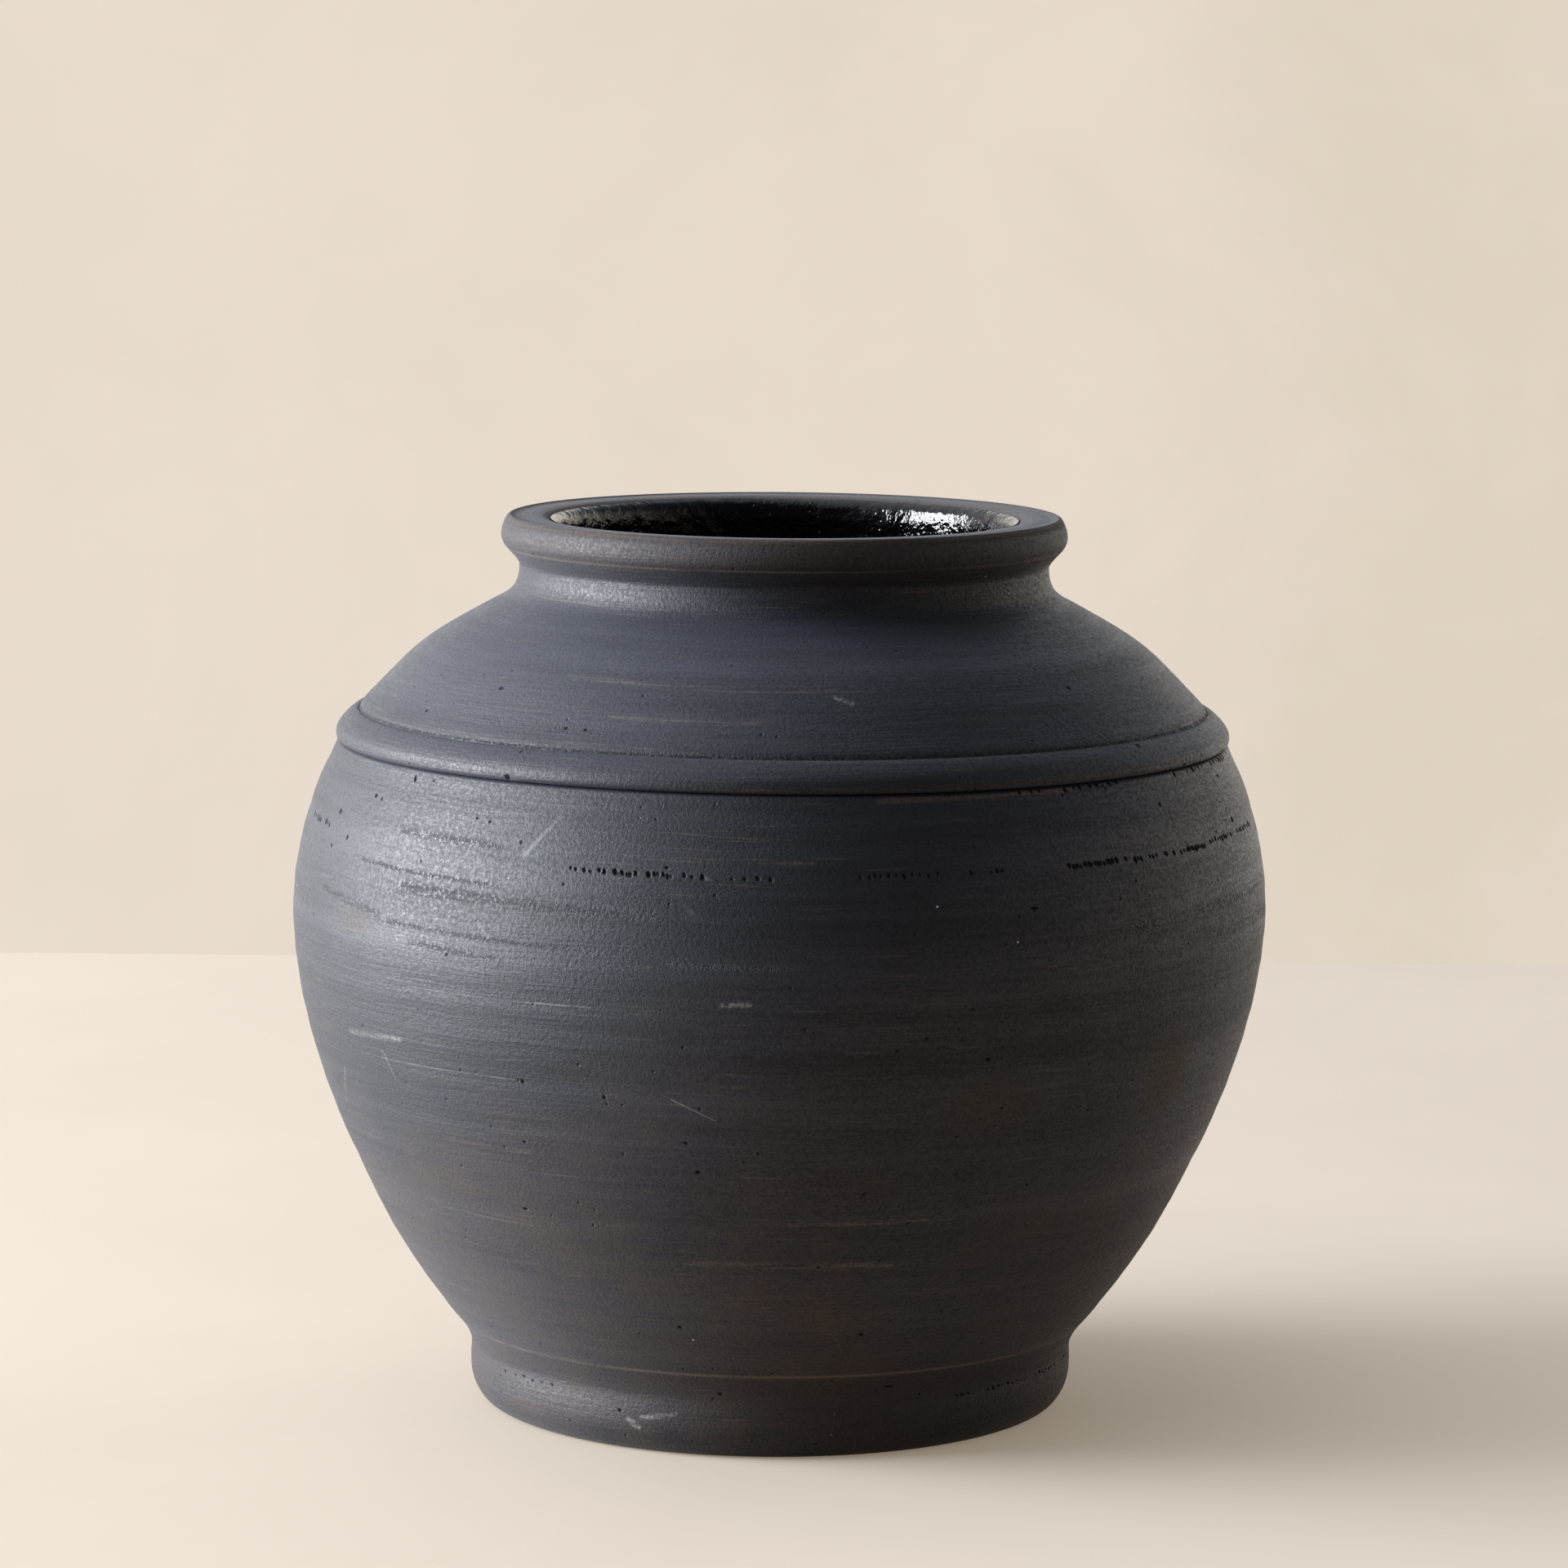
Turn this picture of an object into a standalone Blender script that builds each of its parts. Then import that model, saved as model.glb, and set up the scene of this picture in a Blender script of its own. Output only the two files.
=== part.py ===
"""Wheel-thrown black clay jar with a glazed inside, as the separate clay members it is luted from.

Metres, +Z up. The origin is the centre of the foot, on the surface that the jar stands on.
Every member is turned about Z. Its outline is a list of (radius, height) points.
"""

import math

import bmesh
import bpy
from mathutils import Vector

# Driving dimensions
HEIGHT = 0.2742
BELLY_RADIUS = 0.1496
FOOT_RADIUS = 0.0929
RIM_RADIUS = 0.0867
MOUTH_RADIUS = 0.0696
WALL = 0.0090
NECK_WALL = 0.0115

# Fits and finishes
JOINT_GAP = 0.0003
LAP = 0.0040
GLAZE = 0.0010
FOOT_RECESS = 0.0070
SEGMENTS = 40

# Heights on the outside of the wall
FOOT_TOP = 0.0262
BAND_BOTTOM = 0.2062
BAND_TOP = 0.2166
BELLY_JOINT = 0.2106
COLLAR_JOINT = 0.2450
RIM_JOINT = 0.2580

# Radii under the foot
BASE_JOINT = 0.0760
FOOT_BORE = 0.0680

# The thrown wall: (radius, height, thickness) at the stations that give it its shape
WALL_STATIONS = (
    (0.0600, FOOT_RECESS, WALL),
    (0.0720, FOOT_RECESS, WALL),
    (0.0830, 0.0120, WALL),
    (0.0905, 0.0190, WALL),
    (0.0970, FOOT_TOP, WALL),
    (0.1041, 0.0350, WALL),
    (0.1134, 0.0482, WALL),
    (0.1277, 0.0746, WALL),
    (0.1391, 0.1010, WALL),
    (0.1467, 0.1274, WALL),
    (BELLY_RADIUS, 0.1538, WALL),
    (0.1460, 0.1802, WALL),
    (0.1410, 0.1945, WALL),
    (0.1354, 0.2062, WALL),
    (0.1302, 0.2138, WALL),
    (0.1251, 0.2205, WALL),
    (0.1147, 0.2310, WALL),
    (0.1004, 0.2410, WALL),
    (0.0912, 0.2461, 0.0095),
    (0.0860, 0.2490, 0.0105),
    (0.0828, 0.2520, NECK_WALL),
    (0.0813, 0.2555, NECK_WALL),
    (0.0811, 0.2585, NECK_WALL),
    (0.0822, 0.2612, 0.0126),
)
SAMPLES_PER_SPAN = 8
STRAIGHT_STEP = 0.0168
TIGHT_STEP = 0.0048
TIGHT_BENDS = ((0.0080, 0.0262), (0.2440, 0.2600))


def spline(points, steps):
    """A smooth curve through the points, with that many steps between each two of them."""
    ends = [points[0], *points, points[-1]]
    curve = []
    for before, start, end, after in zip(ends, ends[1:], ends[2:], ends[3:]):
        for step in range(steps):
            t = step / steps
            curve.append(
                0.5
                * (
                    2 * start
                    + (end - before) * t
                    + (2 * before - 5 * start + 4 * end - after) * t**2
                    + (3 * start - before - 3 * end + after) * t**3
                )
            )
    return [*curve, Vector(points[-1])]


def rounded(points, steps=2):
    """An outline's curved stretch, through a few points of its own."""
    return [tuple(point) for point in spline([Vector(point) for point in points], steps)]


class Wall:
    """The thrown wall as one continuous curve, which the joints divide into members."""

    def __init__(self):
        rows = spline([Vector(station) for station in WALL_STATIONS], SAMPLES_PER_SPAN)
        self.outer = [Vector((r, z)) for r, z, thickness in rows]
        self.thickness = [thickness for r, z, thickness in rows]
        last = len(rows) - 1
        self.normals = []
        self.travel = [0.0]
        for i in range(last + 1):
            run = (self.outer[min(i + 1, last)] - self.outer[max(i - 1, 0)]).normalized()
            self.normals.append(Vector((run.y, -run.x)))
            if i:
                self.travel.append(self.travel[-1] + (self.outer[i] - self.outer[i - 1]).length)
        self.joints = [
            self.at_radius(BASE_JOINT),
            *(self.at_height(z) for z in (BELLY_JOINT, COLLAR_JOINT, RIM_JOINT)),
        ]
        self.rings = self.shared_rings()

    def at_height(self, z):
        """How far along the curve the wall reaches that height."""
        for low, high, here, there in zip(self.outer, self.outer[1:], self.travel, self.travel[1:]):
            if low.y < z <= high.y:
                return here + (there - here) * (z - low.y) / (high.y - low.y)
        return self.travel[-1]

    def at_radius(self, r):
        """How far along the curve the underside reaches that radius."""
        for low, high, here, there in zip(self.outer, self.outer[1:], self.travel, self.travel[1:]):
            if low.x < r <= high.x:
                return here + (there - here) * (r - low.x) / (high.x - low.x)
        return self.travel[-1]

    def shared_rings(self):
        """Where every face along the wall has its rings, so that facing surfaces keep an even gap."""
        rings = []
        here = 0.0
        while here < self.travel[-1]:
            rings.append(here)
            tight = any(low <= self.point(here, 0.0)[1] < high for low, high in TIGHT_BENDS)
            here += TIGHT_STEP if tight else STRAIGHT_STEP
        fixed = [self.at_height(z) for z in (FOOT_TOP, BAND_BOTTOM, BAND_TOP)]
        fixed += [joint + side * LAP / 2 for joint in self.joints for side in (-1, 1)]
        clear = [ring for ring in rings if all(abs(ring - other) > LAP / 2 for other in fixed)]
        return sorted([*clear, *fixed])

    def point(self, travel, depth, fraction=0.0):
        """A point that far along the curve, at a depth in the wall plus a fraction of its thickness."""
        travel = min(max(travel, 0.0), self.travel[-1])
        i = max(j for j, here in enumerate(self.travel[:-1]) if here <= travel)
        t = (travel - self.travel[i]) / (self.travel[i + 1] - self.travel[i])
        place = self.outer[i].lerp(self.outer[i + 1], t)
        normal = self.normals[i].lerp(self.normals[i + 1], t).normalized()
        thickness = self.thickness[i] + (self.thickness[i + 1] - self.thickness[i]) * t
        inward = place - normal * (depth + fraction * thickness)
        return (inward.x, inward.y)

    def face(self, start, end, depth=0.0, fraction=0.0):
        """Points along one face of the wall. Fraction 0 is the outside and 1 the inside."""
        low, high = min(start, end), max(start, end)
        between = [ring for ring in self.rings if low + JOINT_GAP < ring < high - JOINT_GAP]
        points = [self.point(ring, depth, fraction) for ring in (low, *between, high)]
        return points if start < end else points[::-1]

    def lap(self, joint, side):
        """A rebated joint from outside to inside. Side is -1 on the member below it and 1 above."""
        gap = side * JOINT_GAP / 2
        low, high = joint - LAP / 2 + gap, joint + LAP / 2 + gap
        return [self.point(high, gap, 0.5), self.point(low, gap, 0.5)], high, low

    def member(self, start, end):
        """The closed outline of the part of the wall between two joints."""
        start_lap, start_out, start_in = self.lap(start, 1)
        end_lap, end_out, end_in = self.lap(end, -1)
        outside = self.face(start_out, end_out)
        inside = self.face(end_in, start_in, fraction=1.0)
        return [*outside, *end_lap, *inside, *reversed(start_lap)]


def finish(name, colour, roughness):
    """A Principled material in one even colour."""
    material = bpy.data.materials.new(name)
    material.use_nodes = True
    shader = material.node_tree.nodes["Principled BSDF"]
    shader.inputs["Base Color"].default_value = (*colour, 1.0)
    shader.inputs["Roughness"].default_value = roughness
    return material


def turn(name, outline, material):
    """Spins an outline about Z into one closed solid. An outline may start and end on the axis."""
    shape = bmesh.new()
    vertices = [shape.verts.new((r, 0.0, z)) for r, z in outline]
    edges = [shape.edges.new(pair) for pair in zip(vertices, vertices[1:])]
    if outline[0][0] > 0.0:
        edges.append(shape.edges.new((vertices[-1], vertices[0])))
    bmesh.ops.spin(
        shape,
        geom=[*vertices, *edges],
        axis=(0.0, 0.0, 1.0),
        cent=(0.0, 0.0, 0.0),
        angle=math.tau,
        steps=SEGMENTS,
        use_merge=True,
    )
    bmesh.ops.remove_doubles(shape, verts=shape.verts, dist=JOINT_GAP / 10)
    bmesh.ops.recalc_face_normals(shape, faces=shape.faces)
    mesh = bpy.data.meshes.new(name)
    shape.to_mesh(mesh)
    shape.free()
    mesh.shade_smooth()
    mesh.set_sharp_from_angle(angle=math.radians(40))
    mesh.materials.append(material)
    member = bpy.data.objects.new(name, mesh)
    bpy.context.scene.collection.objects.link(member)
    return member


def base_disc(wall, joint):
    """The flat floor slab, rebated round its edge for the wall that stands on it."""
    lap, out, inside = wall.lap(joint, -1)
    under = wall.face(0.0, out)
    top = wall.face(inside, 0.0, fraction=1.0)
    return [(0.0, FOOT_RECESS), *under, *lap, *top, (0.0, FOOT_RECESS + WALL)]


def foot_ring(wall):
    """The foot: a coil with a cove above it and a round toe, seated on the underside of the wall."""
    seat = wall.face(wall.at_radius(FOOT_BORE), wall.at_height(FOOT_TOP), depth=-JOINT_GAP)
    cove = rounded([(0.0980, 0.0261), (0.0951, 0.0228), (0.0932, 0.0192)])
    side = [(0.0927, 0.0155), (FOOT_RADIUS, 0.0118), (0.0926, 0.0080)]
    toe = rounded([(0.0912, 0.0045), (0.0890, 0.0018), (0.0850, 0.0)])
    inner = [(FOOT_BORE + 0.0020, 0.0), (FOOT_BORE, 0.0020)]
    return [*seat, *cove, *side, *toe, *inner]


def shoulder_band(wall):
    """The applied strip that covers the joint between belly and shoulder, with an undercut lower edge."""
    back = wall.face(wall.at_height(BAND_TOP), wall.at_height(BAND_BOTTOM), depth=-JOINT_GAP)
    roll = rounded([(0.1364, 0.2058), (0.1367, 0.2083), (0.1354, 0.2112), (0.1329, 0.2142), (0.1292, 0.2172)])
    return [*back, *roll]


def rim_roll(wall, joint):
    """The thick rolled lip with a flat top, on a rebate in the top of the collar."""
    lap, out, inside = wall.lap(joint, 1)
    edge = 0.0020
    flare = rounded([wall.point(out, 0.0), (0.0832, 0.2624), (0.0852, 0.2646), (RIM_RADIUS, 0.2676)])
    brow = [(0.0863, 0.2704), (0.0854, 0.2728), (0.0839, HEIGHT)]
    top = [(MOUTH_RADIUS + edge, HEIGHT), (MOUTH_RADIUS + edge * 0.3, HEIGHT - edge * 0.3)]
    bore = [(MOUTH_RADIUS, HEIGHT - edge), (MOUTH_RADIUS, 0.2640), wall.point(inside, 0.0, 1.0)]
    return [*flare, *brow, *top, *bore, *reversed(lap)]


def inner_glaze(wall, joint):
    """The glass coat on the inside, from the middle of the floor up to just below the lip's edge."""
    end = joint - LAP / 2
    back = wall.face(0.0, end, depth=JOINT_GAP, fraction=1.0)
    front = wall.face(end, 0.0, depth=JOINT_GAP + GLAZE, fraction=1.0)
    floor = FOOT_RECESS + WALL + JOINT_GAP
    clay_side = MOUTH_RADIUS - JOINT_GAP
    top = HEIGHT - 0.0030
    lip = [(clay_side, 0.2640), (clay_side, top - GLAZE), (clay_side - GLAZE / 2, top)]
    drop = [(clay_side - GLAZE, top - GLAZE), (clay_side - GLAZE, 0.2640)]
    return [(0.0, floor), *back, *lip, *drop, *front, (0.0, floor + GLAZE)]


def main():
    for thing in list(bpy.data.objects):
        bpy.data.objects.remove(thing)
    slip_clay = finish("black_slip_clay", (0.045, 0.046, 0.052), 0.62)
    glaze = finish("black_glaze", (0.006, 0.006, 0.007), 0.08)

    wall = Wall()
    base, belly, collar, rim = wall.joints
    turn("foot_ring", foot_ring(wall), slip_clay)
    turn("base_disc", base_disc(wall, base), slip_clay)
    turn("lower_body", wall.member(base, belly), slip_clay)
    turn("upper_body", wall.member(belly, collar), slip_clay)
    turn("shoulder_band", shoulder_band(wall), slip_clay)
    turn("neck_collar", wall.member(collar, rim), slip_clay)
    turn("rim_roll", rim_roll(wall, rim), slip_clay)
    turn("inner_glaze", inner_glaze(wall, rim), glaze)


main()
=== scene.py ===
import math
import random

import bpy
import numpy as np
from mathutils import Matrix, Vector, noise
from mathutils.kdtree import KDTree


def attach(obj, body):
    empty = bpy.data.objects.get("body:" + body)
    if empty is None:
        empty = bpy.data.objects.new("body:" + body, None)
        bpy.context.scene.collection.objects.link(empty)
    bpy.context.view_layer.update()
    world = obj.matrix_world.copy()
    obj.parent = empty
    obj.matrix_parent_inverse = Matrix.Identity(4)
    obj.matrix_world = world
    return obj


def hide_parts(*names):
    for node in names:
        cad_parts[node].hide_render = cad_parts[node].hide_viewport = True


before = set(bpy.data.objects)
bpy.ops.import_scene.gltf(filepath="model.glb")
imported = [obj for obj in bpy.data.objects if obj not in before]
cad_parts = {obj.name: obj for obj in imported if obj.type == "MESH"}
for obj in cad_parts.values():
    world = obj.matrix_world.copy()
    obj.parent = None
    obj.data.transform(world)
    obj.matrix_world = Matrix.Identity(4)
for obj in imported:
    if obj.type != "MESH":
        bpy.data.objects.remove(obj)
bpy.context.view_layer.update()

MM = 0.001
AROUND = 300  # facets round every clay piece, so that neighbours share their border points
GLAZE_AROUND = 440


# ---------------------------------------------------------------- node trees

class Nodes:
    """Adds nodes to one tree. A value may be a number, a tuple or another node's output."""

    def __init__(self, tree):
        self.tree = tree

    def add(self, kind, inputs=None, **settings):
        node = self.tree.nodes.new(kind)
        for key, value in settings.items():
            setattr(node, key, value)
        for key, value in (inputs or {}).items():
            self.feed(node.inputs[key], value)
        return node

    def feed(self, socket, value):
        if isinstance(value, bpy.types.NodeSocket):
            self.tree.links.new(value, socket)
        elif socket.type == "RGBA" and len(value) == 3:
            socket.default_value = (*value, 1.0)
        else:
            socket.default_value = value

    def math(self, operation, a, b=0.0, c=0.0, clamp=False):
        node = self.add("ShaderNodeMath", {0: a, 1: b, 2: c}, operation=operation, use_clamp=clamp)
        return node.outputs[0]

    def total(self, *values):
        result = values[0]
        for value in values[1:]:
            result = self.math("ADD", result, value)
        return result

    def product(self, *values):
        result = values[0]
        for value in values[1:]:
            result = self.math("MULTIPLY", result, value)
        return result

    def split(self, vector):
        return self.add("ShaderNodeSeparateXYZ", {0: vector}).outputs

    def join(self, x, y, z):
        return self.add("ShaderNodeCombineXYZ", {0: x, 1: y, 2: z}).outputs[0]

    def scaled(self, vector, factors):
        return self.add("ShaderNodeVectorMath", {0: vector, 1: factors}, operation="MULTIPLY").outputs[0]

    def number(self, name):
        return self.add("ShaderNodeAttribute", attribute_name=name).outputs["Fac"]

    def noise(self, vector, scale=1.0, detail=2.0, roughness=0.5, distortion=0.0):
        inputs = {"Vector": vector, "Scale": scale, "Detail": detail, "Roughness": roughness, "Distortion": distortion}
        return self.add("ShaderNodeTexNoise", inputs).outputs[0]

    def dots(self, vector, scale, radius, share):
        """Round dots in the given share of the cells of a grid. The radius is in cells."""
        cells = self.add("ShaderNodeTexVoronoi", {"Vector": vector, "Scale": scale}, feature="F1")
        chosen = self.math("GREATER_THAN", self.split(cells.outputs["Color"])[0], 1.0 - share)
        return self.product(chosen, self.rise(cells.outputs["Distance"], radius, 0.6 * radius))

    def rise(self, value, low, high, start=0.0, end=1.0):
        """A smooth step from start to end, as the value goes from low to high."""
        inputs = {"Value": value, "From Min": low, "From Max": high, "To Min": start, "To Max": end}
        return self.add("ShaderNodeMapRange", inputs, interpolation_type="SMOOTHSTEP").outputs[0]

    def near(self, value, middle, width):
        """One at the middle, and nothing from the width on."""
        return self.rise(self.math("ABSOLUTE", self.math("SUBTRACT", value, middle)), width, 0.0)

    def mix(self, share, a, b, blend="MIX"):
        node = self.add("ShaderNodeMix", {0: share, 6: a, 7: b}, data_type="RGBA", blend_type=blend)
        return node.outputs[2]


def new_material(name):
    material = bpy.data.materials.new(name)
    material.use_nodes = True
    return material, Nodes(material.node_tree), material.node_tree.nodes["Principled BSDF"]


# ---------------------------------------------------------------- stage

FLOOR_EDGE = 0.85  # where the floor meets the wall behind the jar


def set_camera():
    """A long lens, a little above the rim, tilted down and rolled by half a degree."""
    data = bpy.data.cameras.new("camera")
    data.sensor_width = 36.0
    data.lens = 140.6
    camera = bpy.data.objects.new("camera", data)
    bpy.context.scene.collection.objects.link(camera)
    tilt = Matrix.Rotation(math.radians(90.0 - 7.47), 4, "X")
    roll = Matrix.Rotation(math.radians(0.49), 4, "Z")
    camera.matrix_world = Matrix.Translation((0.0015, -1.869, 0.436)) @ tilt @ roll
    bpy.context.scene.camera = camera


def softbox(name, size, azimuth, elevation, distance, power, colour):
    """A rectangular lamp that faces the jar's belly. Azimuth 0 is the camera's side, and it grows to the right."""
    data = bpy.data.lights.new(name, "AREA")
    data.shape = "RECTANGLE"
    data.size, data.size_y = size
    data.energy = power
    data.color = colour
    lamp = bpy.data.objects.new(name, data)
    bpy.context.scene.collection.objects.link(lamp)
    a, e = math.radians(azimuth), math.radians(elevation)
    away = Vector((math.sin(a) * math.cos(e), -math.cos(a) * math.cos(e), math.sin(e)))
    lamp.location = Vector((0.0, 0.0, 0.13)) + away * distance
    lamp.rotation_mode = "QUATERNION"
    lamp.rotation_quaternion = away.to_track_quat("Z", "Y")


def set_world():
    """A dim room: dark behind the camera, cream walls to the right and behind, and a duller ceiling."""
    world = bpy.data.worlds.new("room")
    world.use_nodes = True
    bpy.context.scene.world = world
    nodes = Nodes(world.node_tree)
    direction = nodes.add("ShaderNodeTexCoord").outputs["Generated"]
    x, y, z = nodes.split(direction)
    behind = nodes.rise(nodes.total(y, nodes.product(x, 0.62)), -0.55, 0.75)
    wall_light = nodes.mix(nodes.rise(z, 0.52, 0.08), (0.46, 0.49, 0.54), (1.52, 1.42, 1.27))
    sides = nodes.mix(behind, (0.11, 0.11, 0.12), wall_light)
    ceiling = nodes.rise(nodes.total(nodes.product(x, -0.65), nodes.product(z, 0.75)), 0.45, 0.95)
    room = nodes.mix(ceiling, sides, (1.42, 1.43, 1.46))
    patches = nodes.noise(direction, 14.0, 5.0, 0.62, 0.4)
    wall = nodes.mix(nodes.rise(x, -0.16, 0.16), (0.795, 0.700, 0.600), (0.722, 0.630, 0.515))
    plaster = nodes.mix(nodes.rise(patches, 0.30, 0.70, 0.0, 0.45), wall, (0.86, 0.76, 0.66))
    seen = nodes.add("ShaderNodeLightPath").outputs["Is Camera Ray"]
    nodes.feed(world.node_tree.nodes["Background"].inputs["Color"], nodes.mix(seen, room, plaster))


FLOOR_GLOW = (0.190, 0.158, 0.122, 1.0)  # stands in for the light that the rest of a pale room sends into shadows


def set_floor():
    """A plain plaster floor that stops where the wall would stand. It glows with FLOOR_GLOW, a painted light that
    lightens its shadows.
    """
    bpy.ops.object.select_all(action="DESELECT")
    bpy.ops.mesh.primitive_plane_add(size=1.0)
    floor = bpy.context.object
    floor.name = "floor"
    floor.scale = (8.0, 8.0, 1.0)
    floor.location = (0.0, FLOOR_EDGE - 4.0, 0.0)
    bpy.ops.object.transform_apply(location=True, scale=True)
    material, nodes, shader = new_material("plaster_floor")
    place = nodes.add("ShaderNodeTexCoord").outputs["Object"]
    clouds = nodes.noise(place, 3.0, 5.0, 0.6, 0.3)
    tone = nodes.mix(nodes.rise(clouds, 0.35, 0.65), (0.425, 0.376, 0.318), (0.450, 0.399, 0.338))
    nodes.feed(shader.inputs["Base Color"], tone)
    shader.inputs["Roughness"].default_value = 0.85
    shader.inputs["Specular IOR Level"].default_value = 0.3
    shader.inputs["Emission Color"].default_value = FLOOR_GLOW
    shader.inputs["Emission Strength"].default_value = 1.0
    floor.data.materials.append(material)


def set_tone():
    """The camera's tone curve: plain, with a soft toe that deepens the darks."""
    view = bpy.context.scene.view_settings
    view.view_transform = "Standard"
    view.use_curve_mapping = True
    tone = view.curve_mapping.curves[3]
    for light, shown in ((0.03, 0.0145), (0.06, 0.042), (0.10, 0.084), (0.16, 0.156), (0.40, 0.41), (0.80, 0.80)):
        tone.points.new(light, shown)
    view.curve_mapping.update()


# ---------------------------------------------------------------- outlines

def smooth_curve(points, per_stretch=24):
    """Many points on a smooth curve through the given ones."""
    given = [Vector(p) for p in points]
    given = [2 * given[0] - given[1], *given, 2 * given[-1] - given[-2]]
    curve = []
    for a, b, c, d in zip(given, given[1:], given[2:], given[3:]):
        knots = [0.0]
        for p, q in ((a, b), (b, c), (c, d)):
            knots.append(knots[-1] + math.sqrt((q - p).length))
        for i in range(per_stretch):
            t = knots[1] + (knots[2] - knots[1]) * i / per_stretch
            ab, bc, cd = (p.lerp(q, (t - k) / (m - k)) for p, q, k, m in (
                (a, b, knots[0], knots[1]), (b, c, knots[1], knots[2]), (c, d, knots[2], knots[3])))
            abc = ab.lerp(bc, (t - knots[0]) / (knots[2] - knots[0]))
            bcd = bc.lerp(cd, (t - knots[1]) / (knots[3] - knots[1]))
            curve.append(abc.lerp(bcd, (t - knots[1]) / (knots[2] - knots[1])))
    return np.array([tuple(p) for p in curve] + [tuple(given[-2])])


def travel_along(outline):
    """How far along the outline each of its points is."""
    steps = [math.dist(p, q) for p, q in zip(outline, outline[1:])]
    return np.concatenate([[0.0], np.cumsum(steps)])


FINE = 0.2 * MM


def trace(points, step, rings=0.0):
    """The curve through the points, sampled about one step apart and closer at its ends. Rings are the height of the
    low ridges that the fingers leave, which fade out at the ends."""
    curve = smooth_curve(points)
    travel = travel_along(curve)
    length = travel[-1]
    growing = [FINE]
    while growing[-1] * 1.5 < step:
        growing.append(growing[-1] * 1.5)
    if 2 * sum(growing) > 0.8 * length:
        growing = []
    inner = length - 2 * sum(growing)
    count = max(1, round(inner / step))
    steps = growing + [inner / count] * count + growing[::-1]
    stops = np.concatenate([[0.0], np.cumsum(steps)])
    radii = np.interp(stops, travel, curve[:, 0])
    heights = np.interp(stops, travel, curve[:, 1])
    if rings:
        radii += rings * ridges(heights) * np.minimum(1.0, np.minimum(stops, length - stops) / (8 * MM))
    return list(zip(radii, heights))


def ridges(heights):
    """Low uneven ridges, from -1 to 1, some 5 to 15 mm apart up the wall."""
    result = np.zeros(len(heights))
    for spacing, share, phase in ((13.7 * MM, 0.5, 0.3), (8.3 * MM, 0.3, 1.9), (4.9 * MM, 0.2, 4.1)):
        turns = math.tau * heights / spacing + phase + 1.3 * np.sin(heights / (23 * MM))
        result += share * np.sin(turns)
    return result


def inside_of(points, thickness):
    """The points moved inwards, square to the line through them, in reverse order."""
    moved = []
    last = len(points) - 1
    for i in range(last, -1, -1):
        a, b = points[max(i - 1, 0)], points[min(i + 1, last)]
        run = Vector((b[0] - a[0], b[1] - a[1])).normalized()
        moved.append((points[i][0] - run.y * thickness, points[i][1] + run.x * thickness))
    return moved


# ---------------------------------------------------------------- turning

def turn(name, outline, around, start=0.0, round_closed=True):
    """Extrudes a point along the outline, screws the line once round the jar's axis, and closes the seam."""
    closed = outline + outline[:1] if round_closed else outline
    bpy.ops.object.select_all(action="DESELECT")
    bpy.ops.mesh.primitive_plane_add(size=MM, location=(outline[0][0], 0.0, outline[0][1]))
    piece = bpy.context.object
    piece.name = name
    bpy.ops.object.transform_apply(location=True)
    bpy.ops.object.mode_set(mode="EDIT")
    bpy.ops.mesh.merge(type="CENTER")
    for here, there in zip(closed, closed[1:]):
        step = (there[0] - here[0], 0.0, there[1] - here[1])
        bpy.ops.mesh.extrude_region_move(TRANSFORM_OT_translate={"value": step})
    bpy.ops.object.mode_set(mode="OBJECT")
    bpy.ops.object.modifier_add(type="SCREW")
    screw = piece.modifiers[-1]
    screw.axis = "Z"
    screw.angle = math.tau
    screw.steps = screw.render_steps = around
    screw.use_smooth_shade = False
    bpy.ops.object.modifier_apply(modifier=screw.name)
    bpy.ops.object.mode_set(mode="EDIT")
    bpy.ops.mesh.select_all(action="SELECT")
    bpy.ops.mesh.remove_doubles(threshold=0.01 * MM)
    bpy.ops.mesh.normals_make_consistent(inside=False)
    bpy.ops.object.mode_set(mode="OBJECT")
    if signed_volume(piece) < 0.0:
        bpy.ops.object.mode_set(mode="EDIT")
        bpy.ops.mesh.flip_normals()
        bpy.ops.object.mode_set(mode="OBJECT")
    write_number(piece, "travel", start + travel_of(piece, outline))
    return piece


def signed_volume(piece):
    """The volume inside the piece, which comes out negative when its faces point inwards."""
    mesh = piece.data
    mesh.calc_loop_triangles()
    corners = np.empty(len(mesh.loop_triangles) * 3, dtype=np.int32)
    mesh.loop_triangles.foreach_get("vertices", corners)
    a, b, c = np.moveaxis(read_places(piece)[corners].reshape(-1, 3, 3), 1, 0)
    return (a * np.cross(b, c)).sum() / 6.0


def travel_of(piece, outline):
    """How far along the outline each point of the turned piece is."""
    tree = KDTree(len(outline))
    for i, (radius, height) in enumerate(outline):
        tree.insert((radius, 0.0, height), i)
    tree.balance()
    places = read_places(piece)
    radii = np.hypot(places[:, 0], places[:, 1])
    nearest = [tree.find((radius, 0.0, height))[1] for radius, height in zip(radii, places[:, 2])]
    return travel_along(outline)[nearest]


def read_places(piece):
    return read_vectors(piece.data.vertices, "co")


def write_places(piece, places):
    piece.data.vertices.foreach_set("co", places.ravel())
    piece.data.update()


def write_number(piece, name, values):
    numbers = piece.data.attributes.get(name) or piece.data.attributes.new(name, "FLOAT", "POINT")
    numbers.data.foreach_set("value", np.asarray(values, dtype=np.float32))


def azimuths(places):
    """Degrees round the jar: 0 at the front, growing to the right."""
    return np.degrees(np.arctan2(places[:, 0], -places[:, 1]))


# ---------------------------------------------------------------- pits and tears

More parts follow.
